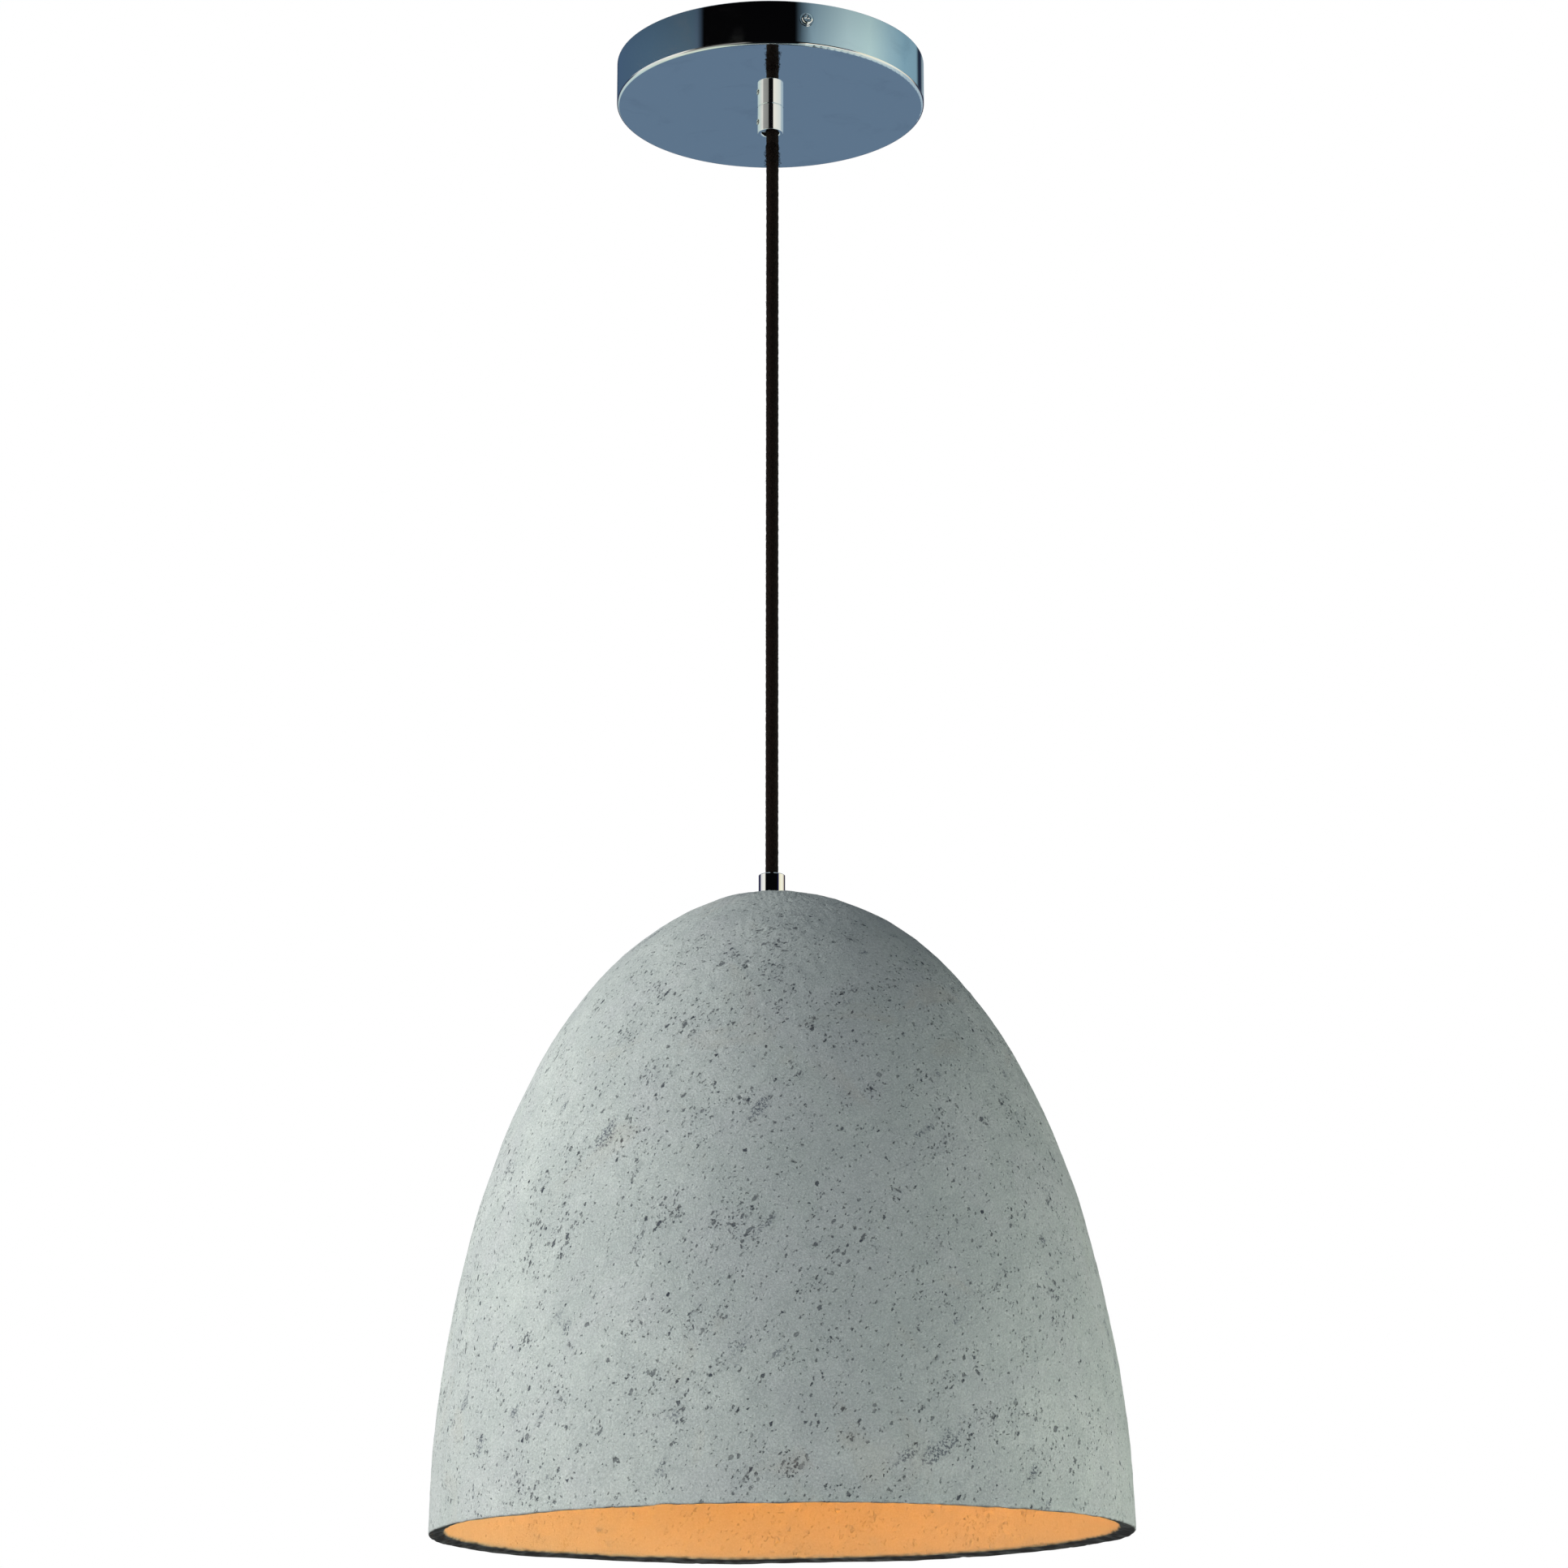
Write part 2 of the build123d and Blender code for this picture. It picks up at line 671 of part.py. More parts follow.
with BuildPart() as bulb_insulator:
    with BuildSketch(hang_level(bulb_top_z - 1.0)):
        Circle(4.6)
    with BuildSketch(hang_level(base_top_z)):
        Circle(base_thread_r - 0.45)
    loft()
pieces["bulb_insulator"] = bulb_insulator

with BuildPart() as bulb_base:
    with BuildSketch(hang_profile):
        with BuildLine():
            Polyline(
                (base_thread_r - shell_t, base_bottom_z),
                (base_thread_r - shell_t, base_top_z),
                (base_thread_r, base_top_z),
            )
            for start, middle, end in ripple(base_thread_r, base_top_z, base_turns):
                ThreePointArc(start, middle, end)
            Polyline(
                (base_thread_r, base_top_z - base_turns * thread_pitch),
                (base_thread_r + 0.25, base_bottom_z),
                (base_thread_r - shell_t, base_bottom_z),
            )
        make_face()
    revolve(axis=hang_axis)
pieces["bulb_base"] = bulb_base

neck_r = 11.6
neck_top_z = base_bottom_z + 8.0
globe_z = bulb_bottom_z + bulb_r
flare_top_z = base_bottom_z - 4.0


def bulb_outline(inset):
    """Neck, flare and globe of the bulb, each drawn this far inside the outer surface."""
    neck = Line((neck_r - inset, neck_top_z), (neck_r - inset, flare_top_z))
    flare = Bezier(
        neck @ 1,
        (neck_r - inset, flare_top_z - 14),
        (bulb_r - inset, globe_z + 26),
        (bulb_r - inset, globe_z),
    )
    bottom = CenterArc((0, globe_z), bulb_r - inset, 0, -90)
    return neck @ 0, bottom @ 1


with BuildPart() as bulb_glass:
    with BuildSketch(hang_profile):
        with BuildLine():
            outer_top, outer_bottom = bulb_outline(0)
            inner_top, inner_bottom = bulb_outline(glass_wall)
            Line(outer_top, inner_top)
            Line(outer_bottom, inner_bottom)
        make_face()
    revolve(axis=hang_axis)
pieces["bulb_glass"] = bulb_glass

stem_bottom_z = globe_z + 16.0
support_reach = 11.0
with BuildPart() as bulb_stem:
    with BuildSketch(hang_profile):
        with BuildLine():
            Polyline(
                (0, neck_top_z),
                (neck_r - glass_wall - 0.3, neck_top_z),
                (4.0, neck_top_z - 12),
                (2.2, stem_bottom_z + 3),
                (3.2, stem_bottom_z),
                (0, stem_bottom_z),
                close=True,
            )
        make_face()
    revolve(axis=hang_axis)
pieces["bulb_stem"] = bulb_stem

with BuildPart() as filament_supports:
    for side in (-1, 1):
        wire_start = (cord_x + side * 1.6, 0, stem_bottom_z)
        wire_end = (cord_x + side * support_reach, 0, globe_z + 2)
        with BuildLine() as wire_path:
            FilletPolyline(wire_start, (wire_start[0], 0, stem_bottom_z - 4), wire_end, radius=2.0)
        with BuildSketch(Plane(origin=wire_start, z_dir=(0, 0, -1))):
            Circle(0.35)
        sweep(path=wire_path.line)
pieces["filament_supports"] = filament_supports

with BuildPart() as bulb_filament:
    with BuildSketch(Plane(origin=(cord_x - support_reach + 0.6, 0, globe_z + 1.2), z_dir=(1, 0, 0))):
        Circle(0.6)
    extrude(amount=2 * (support_reach - 0.6))
pieces["bulb_filament"] = bulb_filament

# ---------------------------------------------------------------- one file per piece
os.makedirs("parts", exist_ok=True)
for name, piece in pieces.items():
    piece.part.label = name
    export_step(piece.part, f"parts/{name}.step")
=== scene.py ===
import math

import bpy
import numpy as np
from mathutils import Matrix, Vector


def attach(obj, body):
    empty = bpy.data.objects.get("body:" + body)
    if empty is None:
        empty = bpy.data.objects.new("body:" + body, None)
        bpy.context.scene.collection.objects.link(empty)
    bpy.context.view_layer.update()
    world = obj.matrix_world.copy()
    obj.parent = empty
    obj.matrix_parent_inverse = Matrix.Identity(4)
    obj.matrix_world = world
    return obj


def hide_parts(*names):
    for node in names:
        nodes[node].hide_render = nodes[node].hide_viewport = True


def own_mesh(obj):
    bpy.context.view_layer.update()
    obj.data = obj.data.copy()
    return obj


# A pendant ceiling light: chrome canopy and cord grip, straight braided cord,
# pitted concrete dome and warm bulb.
# Metres and +Z up, with the origin in the ceiling plane at the middle of the canopy. The dome's profile
# is in millimetres.
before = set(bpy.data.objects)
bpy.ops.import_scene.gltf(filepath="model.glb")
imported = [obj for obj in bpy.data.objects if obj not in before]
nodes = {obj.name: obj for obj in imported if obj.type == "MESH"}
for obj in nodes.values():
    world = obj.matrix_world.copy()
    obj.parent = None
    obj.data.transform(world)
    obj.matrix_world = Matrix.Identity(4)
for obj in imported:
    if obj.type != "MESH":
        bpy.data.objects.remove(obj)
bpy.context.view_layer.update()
scene = bpy.context.scene
rng = np.random.default_rng(21)

CORD_X = 0.001
CORD_R = 0.0031
PIVOT_Z = -0.036  # where the cord swings, at the grip's mouth
CORD_END_Z = -0.4131
CROWN_Z = -0.423
RIM_Z = -0.7213
HANG_TILT = math.radians(0.45)
HANG_SHIFT = 0.0025
FLOOR_Z = -1.75
FLOOR_HALF = 14
VIEW_TURN = math.radians(13.4)  # the camera stands this far round from the front, towards -X
CAMERA_PITCH = math.radians(14.79)
CAMERA_AWAY = 1.9696
CAMERA_SIDE = 0.0067
CAMERA_Z = -0.8886
CAMERA_LENS_MM = 98.52


# ---------------------------------------------------------------- shader helpers
def linear(r, g, b):
    """A colour given as it looks on screen, 0 to 255, as linear values."""
    out = []
    for value in (r, g, b):
        v = value / 255
        out.append(v / 12.92 if v <= 0.04045 else ((v + 0.055) / 1.055) ** 2.4)
    return out


class Shader:
    """Builds one material or world node by node."""

    def __init__(self, owner):
        owner.use_nodes = True
        self.tree = owner.node_tree
        self.tree.nodes.clear()

    def node(self, kind, settings=None, **inputs):
        made = self.tree.nodes.new(kind)
        for key, value in (settings or {}).items():
            setattr(made, key, value)
        for key, value in inputs.items():
            self.put(made.inputs[key.replace("_", " ")], value)
        return made

    def put(self, socket, value):
        if isinstance(value, bpy.types.NodeSocket):
            self.tree.links.new(value, socket)
        elif isinstance(value, (tuple, list)) and socket.type == "RGBA" and len(value) == 3:
            socket.default_value = (*value, 1.0)
        else:
            socket.default_value = value

    def maths(self, operation, *values, clamp=False):
        made = self.tree.nodes.new("ShaderNodeMath")
        made.operation = operation
        made.use_clamp = clamp
        for socket, value in zip(made.inputs, values):
            self.put(socket, value)
        return made.outputs[0]

    def remap(self, value, low, high, to_low=0.0, to_high=1.0, smooth=True):
        made = self.tree.nodes.new("ShaderNodeMapRange")
        made.interpolation_type = "SMOOTHSTEP" if smooth else "LINEAR"
        for key, v in enumerate((value, low, high, to_low, to_high)):
            self.put(made.inputs[key], v)
        return made.outputs[0]

    def mix(self, factor, a, b, blend="MIX"):
        made = self.tree.nodes.new("ShaderNodeMix")
        made.data_type = "RGBA"
        made.blend_type = blend
        self.put(made.inputs[0], factor)
        self.put(made.inputs[6], a)
        self.put(made.inputs[7], b)
        return made.outputs[2]

    def noise(self, where, scale, detail=3.0, rough=0.5, distortion=0.0):
        made = self.node("ShaderNodeTexNoise", Vector=where, Scale=scale, Detail=detail, Roughness=rough)
        made.inputs["Distortion"].default_value = distortion
        return made.outputs[0]

    def ramp(self, value, stops):
        """Colours round the horizon. A stop is (degrees from -180 to 180, r, g, b), as seen on screen."""
        made = self.tree.nodes.new("ShaderNodeValToRGB")
        bar = made.color_ramp
        while len(bar.elements) > 1:
            bar.elements.remove(bar.elements[-1])
        for k, (degrees, *colour) in enumerate(stops):
            at = (degrees + 180) / 360
            spot = bar.elements[0] if k == 0 else bar.elements.new(at)
            spot.position = at
            spot.color = (*linear(*colour), 1.0)
        self.put(made.inputs[0], value)
        return made.outputs[0]

    def place(self):
        return self.tree.nodes.new("ShaderNodeTexCoord").outputs["Object"]

    def attribute(self, name):
        return self.node("ShaderNodeAttribute", {"attribute_name": name}).outputs["Fac"]

    def stretch(self, where, slant, times):
        """A space in which marks come out this many times longer along a slanted line in the XZ plane."""
        made = self.node("ShaderNodeMapping", {"vector_type": "TEXTURE"}, Vector=where)
        made.inputs["Rotation"].default_value = (0.0, slant, 0.0)
        made.inputs["Scale"].default_value = (times, 1.0, 1.0)
        return made.outputs[0]

    def bump(self, height, distance):
        return self.node("ShaderNodeBump", Strength=1.0, Distance=distance, Height=height).outputs[0]

    def surface(self, colour, rough, metallic=0.0, normal=None, **more):
        shade = self.tree.nodes.new("ShaderNodeBsdfPrincipled")
        self.put(shade.inputs["Base Color"], colour)
        self.put(shade.inputs["Roughness"], rough)
        self.put(shade.inputs["Metallic"], metallic)
        if normal is not None:
            self.put(shade.inputs["Normal"], normal)
        for key, value in more.items():
            self.put(shade.inputs[key.replace("_", " ")], value)
        out = self.tree.nodes.new("ShaderNodeOutputMaterial")
        self.tree.links.new(shade.outputs[0], out.inputs[0])


def finish_material(name, colour, rough, metallic=0.0, grain=900.0, tone=0.12, relief=0.00002):
    """A procedural finish: the colour and roughness drift a little, over a fine relief."""
    made = bpy.data.materials.new(name)
    s = Shader(made)
    where = s.place()
    drift = s.noise(where, grain / 6, 4.0, 0.6)
    fine = s.noise(where, grain, 3.0, 0.6)
    darker = [c * (1 - tone) for c in colour]
    lighter = [min(1.0, c * (1 + tone)) for c in colour]
    tinted = s.mix(s.remap(drift, 0.3, 0.7), darker, lighter)
    roughness = s.remap(fine, 0.3, 0.7, rough * 0.8, min(1.0, rough * 1.25))
    s.surface(tinted, roughness, metallic, s.bump(fine, relief))
    return made


# ---------------------------------------------------------------- finishes
def chrome():
    made = bpy.data.materials.new("chrome_plate_finish")
    s = Shader(made)
    where = s.place()
    smudge = s.noise(where, 45.0, 5.0, 0.62, 0.6)
    haze = s.remap(smudge, 0.52, 0.78, 0.0, 1.0)
    s.surface(s.mix(haze, (0.9, 0.91, 0.92), (0.8, 0.81, 0.83)), s.remap(smudge, 0.45, 0.8, 0.02, 0.07), 1.0)
    return made


def emissive_glass():
    """The lit bulb's frosted envelope, a little brighter round the middle."""
    made = bpy.data.materials.new("bulb_envelope_finish")
    s = Shader(made)
    height = s.node("ShaderNodeSeparateXYZ", Vector=s.place()).outputs[2]
    glow = s.remap(height, -0.53, -0.505, 1.0, 0.35)
    frost = s.noise(s.place(), 160.0, 3.0, 0.5)
    strength = s.maths("MULTIPLY", glow, s.remap(frost, 0.2, 0.8, 33.0, 36.5))
    s.surface(
        (0.9, 0.85, 0.76), 0.35, 0.0, None, Emission_Color=(1.0, 0.40, 0.05), Emission_Strength=strength
    )
    return made


# colour, roughness, metallic, grain per metre, drift of tone, depth of relief
PLAIN_FINISHES = {
    "zinc_steel": ((0.6, 0.6, 0.57), 0.34, 1.0, 1400.0, 0.1),
    "green_steel": ((0.08, 0.36, 0.13), 0.36, 0.8, 1200.0, 0.12),
    "copper_brass": ((0.8, 0.58, 0.28), 0.3, 1.0, 1400.0, 0.1),
    "nickel_shell": ((0.78, 0.76, 0.72), 0.25, 1.0, 1400.0, 0.08),
    "textile_braid": ((0.02, 0.014, 0.012), 0.9, 0.0, 2600.0, 0.4, 0.0001),
    "black_insulation": ((0.022, 0.022, 0.024), 0.45),
    "white_insulation": ((0.78, 0.77, 0.73), 0.45),
    "green_insulation": ((0.07, 0.34, 0.12), 0.45),
    "connector_plastic": ((0.72, 0.26, 0.06), 0.42),
    "gasket_rubber": ((0.035, 0.034, 0.033), 0.75, 0.0, 1500.0, 0.2, 0.00005),
    "holder_black": ((0.02, 0.02, 0.021), 0.38, 0.0, 1100.0, 0.2),
    "porcelain": ((0.82, 0.8, 0.75), 0.18, 0.0, 500.0, 0.04, 0.00001),
    "black_glass": ((0.012, 0.012, 0.018), 0.12, 0.0, 500.0, 0.2, 0.00001),
    "stem_glass": ((0.8, 0.82, 0.8), 0.2, 0.0, 400.0, 0.05, 0.00001),
    "tungsten": ((0.3, 0.28, 0.27), 0.4, 1.0),
}
finishes = {slot: finish_material(f"{slot}_finish", *row) for slot, row in PLAIN_FINISHES.items()}
finishes["chrome_plate"] = chrome()
finishes["bulb_envelope"] = emissive_glass()


def small_pits(s, where, scale, smallest, largest, chance):
    """Pits finer than the mesh, as a mask of their depth. Sizes are shares of a cell of the given scale."""
    cell = s.node("ShaderNodeTexVoronoi", {"feature": "F1"}, Vector=where, Scale=scale)
    pick = s.node("ShaderNodeSeparateColor", Color=cell.outputs["Color"])
    present = s.maths("LESS_THAN", pick.outputs[0], chance)
    size = s.remap(pick.outputs[1], 0.0, 1.0, smallest, largest, smooth=False)
    share = s.maths("DIVIDE", cell.outputs["Distance"], size)
    depth = s.remap(pick.outputs[2], 0.0, 1.0, 0.45, 1.0, smooth=False)
    mask = s.maths("MULTIPLY", s.remap(share, 0.75, 1.05, 1.0, 0.0), present)
    return s.maths("MULTIPLY", mask, depth)


TROWEL_SLANT = math.radians(-55)
DRAG_SLANT = math.radians(-48)
CEMENT_CLOUD = (0.43, 0.476, 0.458)
CEMENT_PALE = (0.53, 0.578, 0.55)
CEMENT_MOTTLE = (0.36, 0.402, 0.396)
CEMENT_VIOLET = (0.485, 0.5, 0.515)
CEMENT_SMUDGE = (0.2, 0.23, 0.27)
SAND_DARK = (0.24, 0.27, 0.28)
SAND_GLINT = (0.72, 0.78, 0.76)
DRAG_DARK = (0.085, 0.1, 0.125)
# painted shade in the pits
PIT_SHADE_PAINT = (0.035, 0.042, 0.06)
LIME_BLOOM = (0.62, 0.68, 0.655)
TAN_STAIN = (0.42, 0.36, 0.28)
# painted light: the warm bulb light on the inside
BULB_LIGHT_PAINT_INSIDE = (0.57, 0.455, 0.22)
# painted shade on the rim's underside
RIM_SHADE_PAINT = (0.03, 0.026, 0.026)


def concrete():
    """The dome's skin: pale cloudy cement with slanted groups of pits, dark drags, painted shade in the pits
    and on the rim's underside, and painted warm bulb light inside.
    """
    made = bpy.data.materials.new("concrete_finish")
    s = Shader(made)
    where = s.place()
    # painted shade in the pits, read from the mesh
    pit = s.attribute("pit")
    # painted shade on the rim's underside and edges, read from the mesh
    rim_shade = s.attribute("rim_shade")
    inner = s.attribute("inner")
    # the trowel's slant: marks are longer one way, and their outlines are ragged
    wander = s.node("ShaderNodeTexNoise", Vector=where, Scale=520.0, Detail=4.0, Roughness=0.75)
    shove = s.node("ShaderNodeVectorMath", {"operation": "SCALE"})
    s.put(shove.inputs[0], wander.outputs["Color"])
    shove.inputs["Scale"].default_value = 0.0034
    pushed = s.node("ShaderNodeVectorMath", {"operation": "ADD"})
    s.put(pushed.inputs[0], where)
    s.put(pushed.inputs[1], shove.outputs[0])
    grain = s.stretch(pushed.outputs[0], TROWEL_SLANT, 1.9)
    patch = s.noise(grain, 46.0, 3.0, 0.6, 0.6)
    clump = s.noise(grain, 150.0, 2.0, 0.5, 0.4)
    gather = s.maths("MULTIPLY", s.remap(patch, 0.46, 0.68), s.remap(clump, 0.44, 0.62))
    large = small_pits(s, grain, 370.0, 0.16, 0.4, s.maths("MULTIPLY_ADD", gather, 0.62, 0.012))
    medium = small_pits(s, grain, 640.0, 0.18, 0.44, s.maths("MULTIPLY_ADD", gather, 0.62, 0.045))
    fine = small_pits(s, grain, 1050.0, 0.25, 0.48, s.maths("MULTIPLY_ADD", gather, 0.45, 0.1))
    cloud = s.noise(where, 12.0, 4.0, 0.55, 0.8)
    mottle = s.noise(where, 70.0, 5.0, 0.65, 0.4)
    sand = s.noise(where, 1000.0, 3.0, 0.65)
    hue = s.noise(where, 22.0, 3.0, 0.5, 1.2)
    # pale cement with darker clouds, and a hue that drifts between green-grey and violet-grey
    grey = s.mix(s.remap(cloud, 0.32, 0.7), CEMENT_CLOUD, CEMENT_PALE)
    grey = s.mix(s.remap(mottle, 0.34, 0.68, 0.0, 0.4), grey, CEMENT_MOTTLE)
    grey = s.mix(s.remap(hue, 0.4, 0.7, 0.0, 0.35), grey, CEMENT_VIOLET)
    grey = s.mix(s.remap(sand, 0.35, 0.68, 0.0, 0.42), grey, SAND_DARK)
    glint = s.noise(where, 1450.0, 2.0, 0.6, 0.5)
    grey = s.mix(s.remap(glint, 0.5, 0.66, 0.0, 0.26), grey, SAND_GLINT)
    # damp-looking smudges round the gathered pits
    grey = s.mix(s.maths("MULTIPLY", gather, 0.1), grey, CEMENT_SMUDGE)
    # dark drags where the trowel pulled grit along
    pulled = s.stretch(pushed.outputs[0], DRAG_SLANT, 4.0)
    drag = s.remap(s.noise(pulled, 78.0, 2.0, 0.5), 0.665, 0.73)
    drag = s.maths("MULTIPLY", drag, s.remap(s.noise(where, 950.0, 3.0, 0.7), 0.47, 0.57, 0.04, 0.85))
    grey = s.mix(drag, grey, DRAG_DARK)
    ragged = s.maths("MULTIPLY", s.maths("SUBTRACT", s.noise(where, 1500.0, 2.0), 0.5), 0.7)
    hollow = s.remap(s.maths("ADD", pit, ragged), 0.42, 0.75)
    outside = s.maths("SUBTRACT", 1.0, inner)
    # painted shade: the pits and ragged hollows are mixed towards near black, much less so inside
    dark = s.maths("MAXIMUM", s.maths("MULTIPLY", large, 0.95), s.maths("MULTIPLY", medium, 0.95))
    dark = s.maths("MAXIMUM", dark, s.maths("MULTIPLY", fine, 0.8))
    dark = s.maths("MAXIMUM", dark, s.maths("MULTIPLY", hollow, 0.62))
    dark = s.maths("MULTIPLY", dark, s.remap(inner, 0.0, 1.0, 1.0, 0.1))
    tinted = s.mix(dark, grey, PIT_SHADE_PAINT)
    # pale lime bloom and a faint tan stain here and there
    bloom = s.remap(s.noise(grain, 75.0, 4.0, 0.6, 1.4), 0.62, 0.75, 0.0, 0.22)
    tinted = s.mix(bloom, tinted, LIME_BLOOM)
    stain = s.remap(s.noise(where, 17.0, 2.0, 0.5, 2.0), 0.6, 0.76, 0.0, 0.16)
    tinted = s.mix(s.maths("MULTIPLY", stain, outside), tinted, TAN_STAIN)
    # painted light: the inside is tinted orange for the warm bulb light falling on it
    warm = s.mix(inner, tinted, s.mix(0.7, tinted, BULB_LIGHT_PAINT_INSIDE))
    # painted shade: the rim's underside, which faces down, is mixed towards near black
    colour = s.mix(rim_shade, warm, RIM_SHADE_PAINT)
    # relief finer than the mesh: trowelled skin, wrinkles, grit, pits
    skin = s.noise(grain, 210.0, 4.0, 0.6, 0.9)
    wrinkle = s.noise(where, 520.0, 3.0, 0.6, 1.8)
    height = s.maths("ADD", s.maths("MULTIPLY", skin, 0.55), s.maths("MULTIPLY", wrinkle, 0.36))
    height = s.maths("ADD", height, s.maths("MULTIPLY", sand, 0.12))
    cut = s.maths("MAXIMUM", s.maths("MAXIMUM", large, medium), s.maths("MULTIPLY", fine, 0.6))
    height = s.maths("SUBTRACT", height, s.maths("MULTIPLY", cut, 0.9))
    height = s.maths("SUBTRACT", height, s.maths("MULTIPLY", hollow, 0.5))
    # the inside was never trowelled
    height = s.maths("MULTIPLY", height, s.remap(inner, 0.0, 1.0, 1.0, 0.35))
    s.surface(colour, 0.88, 0.0, s.bump(height, 0.0011), Specular_IOR_Level=0.25)
    return made


# ---------------------------------------------------------------- concrete dome
CURVE_SAMPLES = 4000
SHADE_H = 298.3
SEAT_H = 284.3
COLUMNS = 1240
BORE_ROWS = 4
COLLAR_ROWS = 2
SEAT_ROWS = 4


def bezier(points, count):
    """Points evenly along a Bezier curve."""
    points = np.array(points, float)
    degree = len(points) - 1
    t = np.linspace(0, 1, CURVE_SAMPLES)[:, None]
    curve = sum(math.comb(degree, i) * t**i * (1 - t) ** (degree - i) * points[i] for i in range(degree + 1))
    along = np.concatenate([[0], np.cumsum(np.linalg.norm(np.diff(curve, axis=0), axis=1))])
    even = np.linspace(0, along[-1], count)
    return np.stack([np.interp(even, along, curve[:, 0]), np.interp(even, along, curve[:, 1])], axis=1)


outer = bezier([(0, SHADE_H), (60.3, SHADE_H), (125.0, 245.8), (145.6, 149.5), (160.4, 65), (160.4, 0)], 470)
outer = outer[(outer[:, 0] >= 7.0) & (outer[:, 1] > 1.0)]
lip = np.array([[160.38, 0.9], [160.25, 0.45], [160.0, 0.15], [159.5, 0.05]])
slant = np.linspace((158.9, 0.25), (153.6, 1.55), 12)
lip_in = np.array([[153.1, 1.75], [152.7, 2.2], [152.45, 3.0]])
inside = bezier([(152.4, 2), (152.4, 46), (150, 226), (40, SEAT_H), (24, SEAT_H)], 330)
fine_part = inside[(inside[:, 1] > 3.6) & (inside[:, 1] < 26)]
rest_part = inside[inside[:, 1] >= 26][3::4]
profile = np.concatenate(
    [
        np.linspace((5.6, SEAT_H), (5.6, 298.0), BORE_ROWS),
        np.linspace((6.2, 298.0), (7.0, 298.0), COLLAR_ROWS),
        outer,
        lip,
        slant,
        lip_in,
        fine_part,
        rest_part,
        np.linspace((23.0, SEAT_H), (8.0, SEAT_H), SEAT_ROWS),
    ]
)
radius = profile[:, 0] / 1000
level = profile[:, 1] / 1000
rows = len(profile)
first_outer = BORE_ROWS + COLLAR_ROWS
last_outer = first_outer + len(outer)
first_inner = last_outer + len(lip) + len(slant)
last_inner = rows - SEAT_ROWS

step_r = np.gradient(radius)
step_z = np.gradient(level)
length = np.hypot(step_r, step_z)
normal_r = -step_z / length
normal_z = step_r / length
distance = np.concatenate([[0], np.cumsum(np.hypot(np.diff(radius), np.diff(level)))])
angle = np.arange(COLUMNS) * 2 * math.pi / COLUMNS

relief = np.zeros((rows, COLUMNS))  # metres along the normal, outwards
crust = np.zeros((rows, COLUMNS))  # the raised edges of pits
# how strongly each point is painted as shade in a pit
pit = np.zeros((rows, COLUMNS), np.float32)
# painted shade on the rim's underside and edges, 0 to 1
rim_shade = np.zeros((rows, COLUMNS), np.float32)
SMALLEST_R = 0.004  # pits near the crown's hole are laid out as if this far from the axis
WOBBLE = 6.28


def waves(count, low, high, seed):
    """A smooth random field over the dome, about -1 to 1, with wavelengths from low to high metres."""
    pick = np.random.default_rng(seed)
    field = np.zeros((rows, COLUMNS))
    for _ in range(count):
        size = math.exp(pick.uniform(math.log(low), math.log(high)))
        heading = pick.uniform(0, 2 * math.pi)
        around = round(2 * math.pi * 0.13 * math.cos(heading) / size)
        down = 2 * math.pi * math.sin(heading) / size
        phase = pick.uniform(0, 2 * math.pi)
        field += np.sin(around * angle[None, :] + down * distance[:, None] + phase)
    return field / math.sqrt(count)


def stamp(row_at, turn, long, wide, tilt, depth, crust_height, wobble, shade_mark):
    """Presses one ragged elliptical hollow into the skin, with a crust round part of it, and marks painted
    shade in the hollow.
    """
    reach = 1.7 * max(long, wide)
    near = np.nonzero(np.abs(distance - distance[row_at]) < reach)[0]
    r_here = max(radius[row_at], SMALLEST_R)
    half = reach / r_here
    lo = int(math.floor((turn - half) / (2 * math.pi) * COLUMNS))
    hi = int(math.ceil((turn + half) / (2 * math.pi) * COLUMNS))
    if hi - lo >= COLUMNS:
        return
    columns = np.arange(lo, hi + 1)
    v = -(distance[near] - distance[row_at])[:, None]
    u = ((columns * 2 * math.pi / COLUMNS - turn) * r_here)[None, :]
    x = u * math.cos(tilt) + v * math.sin(tilt)
    y = v * math.cos(tilt) - u * math.sin(tilt)
    around = np.arctan2(y, x)
    d = np.hypot(x / long, y / wide)
    d = d * (1 + 0.22 * np.sin(2 * around + wobble) + 0.16 * np.sin(3 * around + 2.3 * wobble))
    d = d * (1 + 0.1 * np.sin(7 * around + 5.1 * wobble))
    hollow = np.clip((1.15 - d) / 0.6, 0, 1)
    hollow = hollow * hollow * (3 - 2 * hollow)
    ring = np.exp(-(((d - 1.35) / 0.22) ** 2)) * (0.5 + 0.5 * np.cos(around - wobble))
    where = np.ix_(near, columns % COLUMNS)
    relief[where] = np.minimum(relief[where], -depth * hollow)
    crust[where] = np.maximum(crust[where], crust_height * ring)
    pit[where] = np.maximum(pit[where], shade_mark * hollow)


